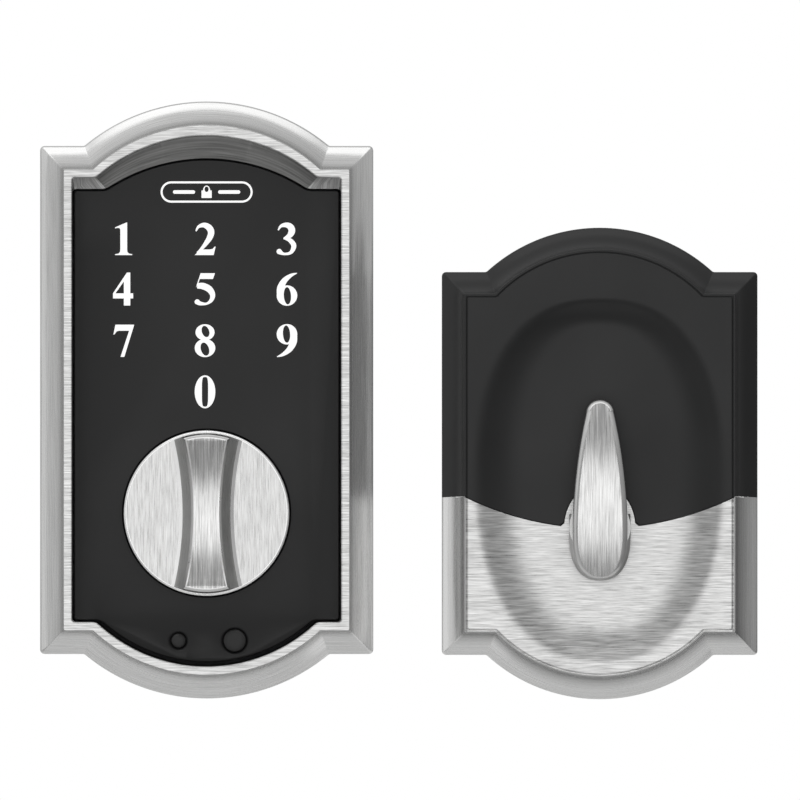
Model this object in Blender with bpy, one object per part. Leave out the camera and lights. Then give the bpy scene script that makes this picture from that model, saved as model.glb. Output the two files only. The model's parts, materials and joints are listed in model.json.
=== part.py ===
"""Keypad smart lock: an outside keypad assembly and an inside thumb-turn assembly, laid side by side.

Both fronts face -Y and both backs lie in the door plane y = 0. What enters the door bore is at +Y.
Sizes are in millimetres and make_object turns them into metres. The origin is the centre of the
outside assembly, in the door plane.
"""

import math

import bmesh
import bpy

MM = 0.001
GAP = 0.3                     # clearance between touching pieces

# Outside assembly. An outline is (shoulder height, arc radius, arc centre height) above and below.
OUT_HALF_WIDTH = 37.65
OUT_SHOULDER = 57.42
OUT_ARC = 43.17
OUT_ARC_CENTRE = 24.30
KNOB_Z = -25.57               # height of the knob and clutch axis
KNOB_RADIUS = 18.73
COVE_WIDTH = 5.42             # cove moulding, measured in from the edge
RIM_WIDTH = 7.30              # outer edge to the panel opening
RIM_TOP = (50.18, 37.73, 21.90)
HOOD_FOOT = (47.72, 41.02, 13.61)
OUT_WALL_Y = -14.0            # front of the straight outer wall
RIM_Y = -21.0
HOOD_FOOT_Y = -18.3
LIP_Y = -14.5                 # back of the lip that holds the panel
PANEL_Y = -18.0
CONTACT_Z = -54.39
CONTACT_X = 6.35              # half of the terminal spacing of a 9 V battery

# Inside assembly, placed by its own centre.
IN_X = 88.79
IN_Z = -14.33
IN_HALF_WIDTH = 35.63
IN_SHOULDER = 43.22
IN_ARC = 37.73
IN_ARC_CENTRE = 15.50
TURN_Z = IN_Z - 14.35         # height of the thumb-turn axis
FIELD_Y = -30.0
DISH_DEPTH = 5.0
DISH_Z = IN_Z - 3.3
DISH_HALF = (28.9, 40.4)
PARTING_EDGE_Z = IN_Z - 7.57
PARTING_RADIUS = 65.0
PARTING_CENTRE_Z = IN_Z + 50.4
BOSS_RADIUS = 8.3             # round boss of the lower shell inside the cover's notch
LEVER_TIP = 28.8
LEVER_TAIL = -11.7
LEVER_HALF = 6.17

# Door fit, shared by both assemblies.
POST_X = 19.8                 # mounting posts and through bolts on either side of the axis
CABLE_X = 11.0
CABLE_RISE = 17.0             # cable outlet above the axis

MATERIALS = {
    "satin_nickel": ((0.66, 0.65, 0.63), 0.32, 1.0),
    "black_glass": ((0.022, 0.022, 0.022), 0.25, 0.0),
    "black_plastic": ((0.025, 0.025, 0.025), 0.45, 0.0),
    "grey_plastic": ((0.16, 0.16, 0.17), 0.55, 0.0),
    "clear_plastic": ((0.75, 0.76, 0.76), 0.25, 0.0),
    "black_rubber": ((0.02, 0.02, 0.02), 0.8, 0.0),
    "steel": ((0.55, 0.56, 0.57), 0.35, 1.0),
    "brass": ((0.72, 0.53, 0.24), 0.35, 1.0),
    "circuit_board": ((0.03, 0.20, 0.09), 0.5, 0.0),
    "battery_wrap": ((0.10, 0.11, 0.13), 0.35, 0.0),
}


# ---------------------------------------------------------------- helpers

def clear_scene():
    for obj in list(bpy.data.objects):
        bpy.data.objects.remove(obj, do_unlink=True)


def material(name):
    """The named Principled material, made on first use."""
    found = bpy.data.materials.get(name)
    if found:
        return found
    colour, roughness, metallic = MATERIALS[name]
    made = bpy.data.materials.new(name)
    made.use_nodes = True
    shader = made.node_tree.nodes["Principled BSDF"]
    shader.inputs["Base Color"].default_value = (*colour, 1.0)
    shader.inputs["Roughness"].default_value = roughness
    shader.inputs["Metallic"].default_value = metallic
    return made


def make_object(name, points, faces, finish, origin=(0.0, 0.0, 0.0)):
    """An object with its faces turned out. Points and origin are in millimetres, in the lock's frame."""
    mesh = bpy.data.meshes.new(name)
    mesh.from_pydata([[(p - o) * MM for p, o in zip(point, origin)] for point in points], [], faces)
    shape = bmesh.new()
    shape.from_mesh(mesh)
    bmesh.ops.recalc_face_normals(shape, faces=shape.faces)
    shape.to_mesh(mesh)
    shape.free()
    mesh.materials.append(material(finish))
    mesh.shade_smooth()
    mesh.set_sharp_from_angle(angle=math.radians(30))
    obj = bpy.data.objects.new(name, mesh)
    obj.location = [o * MM for o in origin]
    bpy.context.scene.collection.objects.link(obj)
    return obj


def strip_cap(size, first):
    """Faces across a loop that starts and half-way ends on its own line of symmetry."""
    faces = [(first, first + 1, first + size - 1)]
    for k in range(1, size // 2 - 1):
        faces.append((first + k, first + k + 1, first + size - k - 1, first + size - k))
    half = size // 2
    faces.append((first + half - 1, first + half, first + half + 1))
    return faces


def loft(name, loops, finish, ring=False, origin=(0.0, 0.0, 0.0), strips=False):
    """Loops of equal length joined in order. A ring closes on its first loop, anything else is capped.

    With strips, the caps are strips across a mirrored outline, so that they may be curved lengthwise.
    """
    size = len(loops[0])
    points = [point for loop in loops for point in loop]
    faces = []
    pairs = [(i, i + 1) for i in range(len(loops) - 1)]
    if ring:
        pairs.append((len(loops) - 1, 0))
    for low, high in pairs:
        for k in range(size):
            after = (k + 1) % size
            faces.append((low * size + k, low * size + after, high * size + after, high * size + k))
    last = (len(loops) - 1) * size
    if strips:
        faces += strip_cap(size, 0) + strip_cap(size, last)
    elif not ring:
        faces.append(tuple(range(size)))
        faces.append(tuple(range(last, last + size)))
    return make_object(name, points, faces, finish, origin)


def at_depth(outline, y):
    return [(x, y, z) for x, z in outline]


def plate(name, outline, front, back, finish, origin=(0.0, 0.0, 0.0)):
    return loft(name, [at_depth(outline, front), at_depth(outline, back)], finish, origin=origin)


def circle(x, z, radius, count):
    turns = [2 * math.pi * k / count for k in range(count)]
    return [(x + radius * math.cos(a), z + radius * math.sin(a)) for a in turns]


def rectangle(left, right, low, high):
    return [(left, low), (right, low), (right, high), (left, high)]


def mirrored(half):
    """A closed outline from its right half, whose first and last points lie on the line of symmetry."""
    return half + [(-x, z) for x, z in reversed(half[1:-1])]


def turned(name, profile, x, z, finish, count=28, ring=False):
    """A turned piece about the axis through (x, z) along Y, from (radius, y) stations."""
    loops = [at_depth(circle(x, z, radius, count), y) for radius, y in profile]
    return loft(name, loops, finish, ring, origin=(x, 0.0, z))


def tube(name, inner, outer, front, back, x, z, finish, count=28):
    profile = [(inner, front), (outer, front), (outer, back), (inner, back)]
    return turned(name, profile, x, z, finish, count, ring=True)


def clip(name, inner, outer, front, back, x, z, finish):
    """An open retaining ring with a 50 degree mouth below."""
    turns = [math.radians(-65 + 310 * k / 20) for k in range(21)]
    outline = [(x + outer * math.cos(a), z + outer * math.sin(a)) for a in turns]
    outline += [(x + inner * math.cos(a), z + inner * math.sin(a)) for a in reversed(turns)]
    return plate(name, outline, front, back, finish, origin=(x, 0.0, z))


def combine(target, other, operation):
    """Adds a Boolean and hides the second shape."""
    other.hide_render = True
    other.display_type = "WIRE"
    step = target.modifiers.new(operation.title() + " " + other.name, "BOOLEAN")
    step.operation = operation
    step.object = other


def drill(target, x, z, radius, front, back, count=20):
    cutter = plate(target.name + "_hole", circle(x, z, radius, count), front, back, "steel")
    combine(target, cutter, "DIFFERENCE")


def crown_arc(shoulder, radius, centre, steps=12):
    """The arc over a camelback's shoulders, from right to left."""
    start = math.asin((shoulder - centre) / radius)
    turns = [start + (math.pi - 2 * start) * k / steps for k in range(steps + 1)]
    return [(radius * math.cos(a), centre + radius * math.sin(a)) for a in turns]


def camelback(half_width, top, bottom, side_steps=1):
    """A closed outline with straight sides, flat shoulders and an arc above and below."""
    rise = [-bottom[0] + (top[0] + bottom[0]) * k / side_steps for k in range(side_steps + 1)]
    points = [(half_width, z) for z in rise]
    points += crown_arc(*top)
    points += [(-half_width, z) for z in reversed(rise)]
    points += [(-x, -z) for x, z in crown_arc(*bottom)]
    return points


def outside_outline(inset, top=None):
    edge = (OUT_SHOULDER - inset, OUT_ARC - inset, OUT_ARC_CENTRE)
    return camelback(OUT_HALF_WIDTH - inset, top or edge, edge)


def inside_outline(inset, side_steps=8):
    edge = (IN_SHOULDER - inset, IN_ARC - inset, IN_ARC_CENTRE)
    outline = camelback(IN_HALF_WIDTH - inset, edge, edge, side_steps)
    return [(x + IN_X, z + IN_Z) for x, z in outline]


def cove(outline, width, low, high, steps=5):
    """Loops of a hollow moulding: nearly flat at the outer edge and steep at the inner one."""
    start = 0.3
    loops = []
    for k in range(steps + 1):
        a = math.radians(90 * k / steps)
        inset = start + (width - start) * math.sin(a)
        loops.append(at_depth(outline(inset), high + (low - high) * math.cos(a)))
    return loops


# ---------------------------------------------------------------- outside assembly

def outside_escutcheon():
    wall = 2.2
    loops = [at_depth(outside_outline(0.0), -1.5), at_depth(outside_outline(0.0), OUT_WALL_Y + 0.4)]
    loops += cove(outside_outline, COVE_WIDTH, OUT_WALL_Y, RIM_Y)
    loops.append(at_depth(outside_outline(RIM_WIDTH, RIM_TOP), RIM_Y))
    loops.append(at_depth(outside_outline(RIM_WIDTH, HOOD_FOOT), HOOD_FOOT_Y))
    loops.append(at_depth(outside_outline(RIM_WIDTH, HOOD_FOOT), LIP_Y))
    loops.append(at_depth(outside_outline(5.5), LIP_Y))
    loops.append(at_depth(outside_outline(wall), LIP_Y + 2.5))
    loops.append(at_depth(outside_outline(wall), -1.5))
    loft("outside_escutcheon", loops, "satin_nickel", ring=True)


def panel_outline(spread, bottom_gap):
    """The panel's outline, grown by spread on every side, with its gap to the rim at the bottom arc."""
    shoulder, radius, centre = HOOD_FOOT
    top = (shoulder - GAP + spread, radius - GAP + spread, centre)
    edge = OUT_HALF_WIDTH - RIM_WIDTH
    bottom = (OUT_SHOULDER - RIM_WIDTH - 0.5 + spread, OUT_ARC - RIM_WIDTH - bottom_gap + spread, OUT_ARC_CENTRE)
    return camelback(edge - 0.45 + spread, top, bottom)


def touch_panel():
    flange_y = LIP_Y + 1.4
    front = panel_outline(0.0, 1.0)
    flange = panel_outline(1.5, 0.8)
    loops = [at_depth(front, PANEL_Y), at_depth(front, flange_y)]
    loops += [at_depth(flange, flange_y), at_depth(flange, flange_y + 1.2)]
    panel = loft("touch_panel", loops, "black_glass")
    drill(panel, 0.0, KNOB_Z, KNOB_RADIUS + 0.6, -19.0, -11.0, 48)
    drill(panel, -CONTACT_X, CONTACT_Z, 2.4, -19.0, -11.0)
    drill(panel, CONTACT_X, CONTACT_Z, 3.25, -19.0, -11.0)


def panel_gasket():
    inner = panel_outline(0.5, 0.8)
    outer = panel_outline(1.5, 0.8)
    front = LIP_Y + GAP
    back = front + 0.8
    loops = [at_depth(inner, front), at_depth(outer, front), at_depth(outer, back), at_depth(inner, back)]
    loft("panel_gasket", loops, "black_rubber", ring=True)


def keypad_layers():
    plate("light_guide", rectangle(-26.0, 26.0, -4.5, 43.0), -11.6, -10.4, "clear_plastic")
    plate("keypad_sensor_board", rectangle(-27.0, 27.0, -5.0, 44.5), -10.1, -8.9, "circuit_board")


def outside_chassis():
    chassis = plate("outside_chassis", outside_outline(2.6), -8.6, -3.6, "grey_plastic")
    pocket = plate("chassis_pocket", rectangle(-27.0, 27.0, -47.0, 46.0), -7.0, -3.0, "steel")
    combine(chassis, pocket, "DIFFERENCE")
    drill(chassis, 0.0, KNOB_Z, 7.8, -9.0, -6.0, 32)
    for x, z in screw_places():
        drill(chassis, x, z, 1.5, -7.2, -3.0, 12)
    plate("control_board", rectangle(-24.0, 24.0, -1.0, 42.0), -6.4, -4.8, "circuit_board")


def screw_places():
    return [(-31.0, -50.0), (31.0, -50.0), (31.0, 50.0), (-31.0, 50.0)]


def back_plate():
    back = plate("back_plate", outside_outline(2.6), -3.3, -1.5, "steel")
    gasket = plate("outside_door_gasket", outside_outline(0.4), -1.2, 0.0, "black_rubber")
    for piece in (back, gasket):
        drill(piece, 0.0, KNOB_Z, 14.4, -4.0, 1.0, 32)
        drill(piece, -POST_X, KNOB_Z, 3.8, -4.0, 1.0)
        drill(piece, POST_X, KNOB_Z, 3.8, -4.0, 1.0)
        drill(piece, CABLE_X, KNOB_Z + CABLE_RISE, 4.3, -4.0, 1.0)
    for number, (x, z) in enumerate(screw_places(), 1):
        profile = [(1.2, -7.0), (1.2, -2.9), (2.5, -1.6)]
        turned("back_plate_screw_%d" % number, profile, x, z, "steel", 12)
        countersink = [(1.5, -4.0), (1.5, -3.0), (3.1, -1.4), (3.1, -1.3)]
        hole = turned("countersink_%d" % number, countersink, x, z, "steel", 12)
        combine(back, hole, "DIFFERENCE")


def mounting_posts():
    for name, x in (("mounting_post_left", -POST_X), ("mounting_post_right", POST_X)):
        profile = [(3.5, -5.0), (3.5, 33.4), (3.0, 34.0), (2.0, 34.0), (2.0, 12.0)]
        turned(name, profile, x, KNOB_Z, "steel", 24)


def clutch_collar():
    profile = [(11.6, -5.0), (15.6, -5.0), (15.6, -3.6), (14.0, -3.6), (14.0, 20.0), (6.4, 20.0)]
    profile += [(6.4, 18.4), (11.6, 18.4)]
    turned("clutch_collar", profile, 0.0, KNOB_Z, "steel", 32, ring=True)


def cable_grommet():
    profile = [(3.2, -3.9), (4.0, -3.9), (4.0, GAP), (4.9, GAP), (4.9, 1.3), (3.2, 1.3)]
    turned("cable_grommet", profile, CABLE_X, KNOB_Z + CABLE_RISE, "black_rubber", 24, ring=True)


def contact_pads():
    for name, x, radius, hole in (("small", -CONTACT_X, 1.66, 2.4), ("large", CONTACT_X, 2.57, 3.25)):
        base = hole - GAP
        profile = [(radius - 0.4, -18.5), (radius, -18.2), (radius, -15.0), (base, -14.6), (base, -11.4)]
        turned("contact_pad_" + name, profile, x, CONTACT_Z, "black_plastic", 24)
        contact_spring("contact_spring_" + name, x)


def contact_spring(name, x):
    """A bent leaf on the chassis whose free end lies behind a contact pad."""
    half = 1.2
    z = CONTACT_Z
    side = [(-10.6, z - 1.5), (-10.6, z + 3.0), (-9.3, z + 5.0), (-9.3, z + 9.0)]
    side += [(-8.9, z + 9.0), (-8.9, z + 4.8), (-10.2, z + 2.8), (-10.2, z - 1.5)]
    loops = [[(x + offset, y, height) for y, height in side] for offset in (-half, half)]
    loft(name, loops, "brass")


# ---------------------------------------------------------------- knob, clutch and tailpiece

def hourglass(middle, end, radius, side_steps=8, end_steps=3):
    """The finger bar's outline about the knob axis: narrow in the middle, with ends on a circle."""
    reach = math.sqrt(radius ** 2 - end ** 2)
    lean = math.asin(end / radius)
    turns = [lean * k / end_steps for k in range(end_steps)]
    low_end = [(radius * math.sin(a), -radius * math.cos(a)) for a in turns]
    heights = [reach * (2 * k / side_steps - 1) for k in range(side_steps + 1)]
    side = [(middle + (end - middle) * (z / reach) ** 2, z) for z in heights]
    high_end = [(x, -z) for x, z in reversed(low_end)]
    return mirrored(low_end + side + high_end)


def outside_knob():
    profile = [(16.0, -9.2), (KNOB_RADIUS, -9.2), (KNOB_RADIUS, -22.4), (KNOB_RADIUS - 0.6, -23.0)]
    outer = [(6.0, -23.0)]
    inner = [(6.0, -20.5), (16.0, -20.5)]
    knob = turned("outside_knob", [(6.0, -20.5)] + inner[1:] + profile + outer, 0.0, KNOB_Z, "satin_nickel", 48)
    loops = []
    for middle, end, radius, y in ((5.8, 7.9, 18.1, -22.0), (5.8, 7.9, 18.1, -23.1), (4.2, 6.2, 18.0, -24.4),
                                   (3.5, 5.3, 18.0, -30.2), (2.5, 4.9, 16.4, -31.2)):
        saddle = 1.4 if y < -30.0 else 0.0
        loops.append([(x, y + saddle * (1 - (z / radius) ** 2), z + KNOB_Z)
                      for x, z in hourglass(middle, end, radius)])
    bar = loft("finger_bar", loops, "satin_nickel", strips=True)
    combine(knob, bar, "UNION")


def knob_drive():
    turned("knob_shaft", [(5.0, -20.2), (5.0, 8.8)], 0.0, KNOB_Z, "steel", 32)
    tube("knob_bushing", 5.3, 7.5, -8.6, -3.9, 0.0, KNOB_Z, "brass")
    clip("knob_retaining_ring", 5.3, 7.3, -3.6, -2.8, 0.0, KNOB_Z, "steel")
    hub = tube("clutch_hub", 5.3, 11.3, 3.8, 8.8, 0.0, KNOB_Z, "brass", 32)
    drill(hub, 0.0, KNOB_Z + 8.3, 1.3, 3.0, 9.5, 16)
    turned("clutch_pin", [(1.0, 4.1), (1.0, 8.9), (0.7, 9.2)], 0.0, KNOB_Z + 8.3, "steel", 16)
    turned("clutch_motor", [(2.8, -2.4), (2.8, 3.4)], -8.4, KNOB_Z, "steel", 20)


def tailpiece():
    profile = [(6.9, 9.7), (6.9, 11.9), (9.7, 11.9), (9.7, 9.7), (11.3, 9.7), (11.3, 17.9), (6.0, 17.9), (6.0, 22.0)]
    hub = turned("tailpiece_hub", profile, 0.0, KNOB_Z, "brass", 32)
    slot = plate("tailpiece_slot", rectangle(-1.15, 1.15, KNOB_Z - 3.6, KNOB_Z + 3.6), 12.3, 23.0, "steel")
    combine(hub, slot, "DIFFERENCE")
    side = [(12.6, -3.3), (46.0, -3.3), (50.0, -2.4), (50.0, 2.4), (46.0, 3.3), (12.6, 3.3)]
    loops = [[(x, y, z + KNOB_Z) for y, z in side] for x in (-0.85, 0.85)]
    loft("tailpiece", loops, "steel", origin=(0.0, 0.0, KNOB_Z))


# ---------------------------------------------------------------- inside assembly

def dish_loop(outline, grow, y):
    """An ellipse of the dish, with one point towards each point of the outline."""
    across, up = DISH_HALF[0] * grow, DISH_HALF[1] * grow
    turns = [math.atan2((z - DISH_Z) / DISH_HALF[1], (x - IN_X) / DISH_HALF[0]) for x, z in outline]
    return [(IN_X + across * math.cos(a), y, DISH_Z + up * math.sin(a)) for a in turns]


def dish(front, spread):
    """Loops down into the dish, from the flat field at depth front to the dish's floor."""
    outline = inside_outline(5.9)
    loops = []
    for k in range(6):
        share = k / 5
        fall = share * share * (3 - 2 * share)
        loops.append(dish_loop(outline, 1.0 - 0.32 * share + spread, front + DISH_DEPTH * fall))
    return loops


def inside_shell(name, finish):
    """The whole inside casing, before the parting line divides it."""
    wall = 1.8
    inner_field = at_depth(inside_outline(5.9), FIELD_Y + wall)
    inner = [inner_field] + dish(FIELD_Y + wall, 0.012)
    inner = [at_depth(inside_outline(4.2), -22.0)] + inner
    inner = [at_depth(inside_outline(wall), -GAP), at_depth(inside_outline(wall), -20.5)] + inner
    outer = [at_depth(inside_outline(0.0), -GAP), at_depth(inside_outline(0.0), -22.4)]
    outer += cove(inside_outline, 5.1, -22.8, FIELD_Y)
    outer += dish(FIELD_Y, 0.0)
    return loft(name, list(reversed(inner)) + outer, finish)


def parting_line(shift):
    """The line between the cover and the lower shell, left to right, moved up by shift."""
    edge = IN_HALF_WIDTH + 3.0
    field = IN_HALF_WIDTH - 5.1
    centre = PARTING_CENTRE_Z + shift
    mouth = BOSS_RADIUS + GAP / 2 + shift
    right = []
    for k in range(9):
        x = mouth + (field - mouth) * k / 8
        right.append((IN_X + x, centre - math.sqrt(PARTING_RADIUS ** 2 - x ** 2)))
    right.append((IN_X + edge, PARTING_EDGE_Z + shift))
    arch = []
    start = math.asin((right[0][1] - TURN_Z) / mouth)
    for k in range(1, 16):
        a = math.pi - start - (math.pi - 2 * start) * k / 16
        arch.append((IN_X + mouth * math.cos(a), TURN_Z + mouth * math.sin(a)))
    left = [(2 * IN_X - x, z) for x, z in reversed(right)]
    return left + arch + right


def inside_shells():
    edge = IN_HALF_WIDTH + 3.0
    reach = IN_SHOULDER + 20.0
    low_line = parting_line(-GAP / 2)
    high_line = parting_line(GAP / 2)
    below = low_line + [(IN_X + edge, IN_Z - reach), (IN_X - edge, IN_Z - reach)]
    above = high_line + [(IN_X + edge, IN_Z + reach), (IN_X - edge, IN_Z + reach)]
    shell = inside_shell("inside_escutcheon", "satin_nickel")
    combine(shell, plate("lower_region", below, -35.0, 5.0, "steel"), "INTERSECT")
    drill(shell, IN_X, TURN_Z, 5.1, -32.0, -15.0, 32)
    cover = inside_shell("battery_cover", "black_plastic")
    combine(cover, plate("upper_region", above, -35.0, 5.0, "steel"), "INTERSECT")


def support_plate():
    support = plate("support_plate", inside_outline(3.2, 1), -1.8, 0.0, "steel")
    outer = inside_outline(2.4, 1)
    inner = inside_outline(4.0, 1)
    loops = [at_depth(outer, -2.1), at_depth(outer, -12.0), at_depth(inner, -12.0), at_depth(inner, -3.8)]
    chassis = loft("inside_chassis", loops, "grey_plastic")
    drill(support, IN_X, TURN_Z, 8.0, -2.5, 1.0, 32)
    drill(chassis, IN_X, TURN_Z, 6.8, -5.0, -1.0, 32)
    for side in (-1, 1):
        drill(support, IN_X + side * POST_X, TURN_Z, 2.6, -2.5, 1.0, 20)
        drill(chassis, IN_X + side * POST_X, TURN_Z, 4.4, -5.0, -1.0, 24)
    for piece in (support, chassis):
        drill(piece, IN_X - CABLE_X, TURN_Z + CABLE_RISE, 4.2, -5.0, 1.0)
        for x, z in chassis_screw_places():
            drill(piece, x, z, 1.5, -5.0, 1.0, 12)


def chassis_screw_places():
    return [(IN_X - 27.5, IN_Z), (IN_X + 27.5, IN_Z), (IN_X - 25.0, IN_Z - 33.0), (IN_X + 25.0, IN_Z - 33.0)]


def inside_screws():
    for number, (x, z) in enumerate(chassis_screw_places(), 1):
        profile = [(1.9, -5.6), (2.4, -5.0), (2.4, -4.1), (1.2, -4.1), (1.2, -0.4)]
        turned("chassis_screw_%d" % number, profile, x, z, "steel", 12)
    for name, side in (("through_bolt_left", -1), ("through_bolt_right", 1)):
        profile = [(3.2, -4.8), (3.9, -4.3), (3.9, -2.1), (2.3, -2.1), (2.3, 31.4), (1.8, 32.0)]
        turned(name, profile, IN_X + side * POST_X, TURN_Z, "steel", 20)


def battery_bay():
    low, high = IN_Z + 8.0, IN_Z + 34.5
    middle = (low + high) / 2
    front, back = -21.7, -4.2
    inner = rectangle(IN_X - 25.9, IN_X + 26.7, low - 0.4, high + 0.4)
    outer = rectangle(IN_X - 27.3, IN_X + 28.1, low - 1.8, high + 1.8)
    loops = [at_depth(inner, -15.0), at_depth(outer, -15.0), at_depth(outer, -4.1), at_depth(inner, -4.1)]
    loft("battery_tray", loops, "grey_plastic", ring=True)
    battery = plate("battery", rectangle(IN_X - 25.5, IN_X + 20.9, low, high), front, back, "battery_wrap")
    bevel = battery.modifiers.new("Bevel", "BEVEL")
    bevel.width = 1.6 * MM
    bevel.segments = 2
    depth = (front + back) / 2
    for name, offset, radius, count in (("small", -6.35, 2.85, 20), ("large", 6.35, 3.6, 6)):
        ends = []
        for x in (21.2, 23.4):
            ends.append([(IN_X + x, depth + radius * math.cos(2 * math.pi * k / count),
                          middle + offset + radius * math.sin(2 * math.pi * k / count)) for k in range(count)])
        loft("battery_terminal_" + name, ends, "steel")
    snap = rectangle(IN_X + 23.7, IN_X + 26.3, middle - 11.5, middle + 11.5)
    plate("battery_snap_connector", snap, depth - 6.5, depth + 6.5, "black_plastic")


def inside_electronics():
    board = rectangle(IN_X - 20.0, IN_X + 20.0, IN_Z - 41.0, IN_Z - 26.5)
    plate("inside_circuit_board", board, -5.8, -4.2, "circuit_board")
    switch = rectangle(IN_X - 4.0, IN_X + 4.0, IN_Z - 32.0, IN_Z - 27.0)
    plate("position_switch", switch, -10.0, -6.1, "black_plastic")


# ---------------------------------------------------------------- thumb-turn

def lever_outline(inset):
    """The lever's outline about its axis: a slow taper to a round tip, with a blunt rounded tail."""
    tip_radius = 3.2 - inset
    tip_centre = LEVER_TIP - 3.2
    half = LEVER_HALF - inset
    shrink = 0.00405
    tail_centre = -1.5
    tail_length = tail_centre - LEVER_TAIL - inset
    power = 2 / 2.4
    right = []
    for k in range(8):
        a = math.pi / 2 * k / 8
        right.append((half * math.sin(a) ** power, tail_centre - tail_length * math.cos(a) ** power))
    for k in range(7):
        z = tail_centre + (tip_centre + 0.5 - tail_centre) * k / 6
        right.append((half - shrink * (z - tail_centre) ** 2, z))
    lean = math.radians(9)
    for k in range(1, 6):
        a = lean + (math.pi / 2 - lean) * k / 6
        right.append((tip_radius * math.cos(a), tip_centre + tip_radius * math.sin(a)))
    right.append((0.0, tip_centre + tip_radius))
    return mirrored(right)


def thumb_turn():
    loops = []
    for inset, y in ((0.8, -30.9), (0.0, -31.7), (0.2, -38.0), (0.7, -42.0), (1.4, -43.4), (2.4, -44.2)):
        crown = 4.0 if y < -40.0 else 0.0
        loops.append([(x + IN_X, y + crown * ((z - 4.0) / 25.0) ** 2, z + TURN_Z)
                      for x, z in lever_outline(inset)])
    lever = loft("thumb_turn", loops, "satin_nickel", origin=(IN_X, 0.0, TURN_Z), strips=True)
    neck = plate("thumb_turn_neck", circle(IN_X, TURN_Z, 6.9, 32), -33.0, FIELD_Y + DISH_DEPTH - GAP, "steel")
    combine(lever, neck, "UNION")


def thumb_turn_drive():
    profile = [(4.8, -24.4), (4.8, -10.2), (7.5, -10.2), (7.5, -7.4), (4.8, -7.4), (4.8, -0.6)]
    spindle = turned("thumb_turn_spindle", profile, IN_X, TURN_Z, "brass", 32)
    socket = plate("spindle_socket", rectangle(IN_X - 1.15, IN_X + 1.15, TURN_Z - 3.6, TURN_Z + 3.6), -16.0, 1.0, "steel")
    combine(spindle, socket, "DIFFERENCE")
    bush = [(5.1, -6.0), (8.0, -6.0), (8.0, -4.1), (6.5, -4.1), (6.5, -2.3), (5.1, -2.3)]
    turned("thumb_turn_bushing", bush, IN_X, TURN_Z, "brass", 32, ring=True)
    wave_washer()
    clip("thumb_turn_retaining_clip", 5.1, 6.9, -1.9, -1.1, IN_X, TURN_Z, "steel")


def wave_washer():
    """A thin spring washer with three waves."""
    inner, outer, thickness = 5.1, 7.4, 0.3
    loops = [[], [], [], []]
    for k in range(36):
        a = 2 * math.pi * k / 36
        front = -6.85 + 0.15 * math.cos(3 * a)
        for loop, radius, y in zip(loops, (inner, outer, outer, inner), (0.0, 0.0, thickness, thickness)):
            loop.append((IN_X + radius * math.cos(a), front + y, TURN_Z + radius * math.sin(a)))
    loft("wave_washer", loops, "steel", ring=True, origin=(IN_X, 0.0, TURN_Z))


def build():
    clear_scene()
    outside_escutcheon()
    touch_panel()
    panel_gasket()
    keypad_layers()
    outside_chassis()
    back_plate()
    mounting_posts()
    clutch_collar()
    cable_grommet()
    contact_pads()
    outside_knob()
    knob_drive()
    tailpiece()
    inside_shells()
    support_plate()
    inside_screws()
    battery_bay()
    inside_electronics()
    thumb_turn()
    thumb_turn_drive()


build()
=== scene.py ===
"""Looks of the keypad smart lock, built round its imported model.

The outside assembly's fine pieces are drawn about its own centre and the inside assembly's about
its own, both in millimetres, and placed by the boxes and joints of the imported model.
"""

import json
import math

import bmesh
import bpy
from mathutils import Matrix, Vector


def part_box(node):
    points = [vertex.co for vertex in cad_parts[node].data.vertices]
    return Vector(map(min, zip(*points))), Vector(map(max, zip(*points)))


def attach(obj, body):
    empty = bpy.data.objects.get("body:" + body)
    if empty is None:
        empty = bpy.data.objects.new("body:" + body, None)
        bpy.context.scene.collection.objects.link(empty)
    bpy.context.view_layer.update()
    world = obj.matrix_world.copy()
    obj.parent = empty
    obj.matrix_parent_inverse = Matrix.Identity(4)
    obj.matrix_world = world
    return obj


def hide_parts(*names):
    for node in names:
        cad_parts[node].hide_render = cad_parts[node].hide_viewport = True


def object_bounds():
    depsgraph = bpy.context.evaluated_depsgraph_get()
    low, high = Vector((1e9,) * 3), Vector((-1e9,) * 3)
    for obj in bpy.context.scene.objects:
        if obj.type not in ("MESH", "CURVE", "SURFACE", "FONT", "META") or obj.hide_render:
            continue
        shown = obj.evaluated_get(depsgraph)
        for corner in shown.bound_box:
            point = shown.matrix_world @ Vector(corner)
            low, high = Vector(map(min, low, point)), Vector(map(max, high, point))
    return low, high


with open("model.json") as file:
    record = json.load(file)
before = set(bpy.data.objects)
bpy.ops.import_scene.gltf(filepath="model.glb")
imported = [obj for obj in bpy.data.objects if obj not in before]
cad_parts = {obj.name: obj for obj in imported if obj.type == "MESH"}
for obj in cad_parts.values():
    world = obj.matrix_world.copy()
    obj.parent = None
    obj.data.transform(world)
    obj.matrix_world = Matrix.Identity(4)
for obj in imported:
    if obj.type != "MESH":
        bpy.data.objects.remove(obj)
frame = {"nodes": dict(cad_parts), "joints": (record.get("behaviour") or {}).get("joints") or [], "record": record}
cad_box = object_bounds()

MM = 0.001


def box_mm(node):
    low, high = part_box(node)
    return low / MM, high / MM


def joint_mm(name):
    joint = next(j for j in frame["joints"] if j["name"] == name)
    return [value / MM for value in joint["pos_m"]]


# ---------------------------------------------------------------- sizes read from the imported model

OUT_LOW, OUT_HIGH = box_mm("outside_escutcheon")
IN_LOW, _ = box_mm("inside_escutcheon")
COVER_LOW, COVER_HIGH = box_mm("battery_cover")
PANEL_LOW, PANEL_HIGH = box_mm("touch_panel")
KNOB_LOW, KNOB_HIGH = box_mm("outside_knob")
LEVER_LOW, LEVER_HIGH = box_mm("thumb_turn")
KNOB_Z = joint_mm("knob_turn")[2]
TURN_X, _, TURN_Z = joint_mm("thumb_turn")

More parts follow.
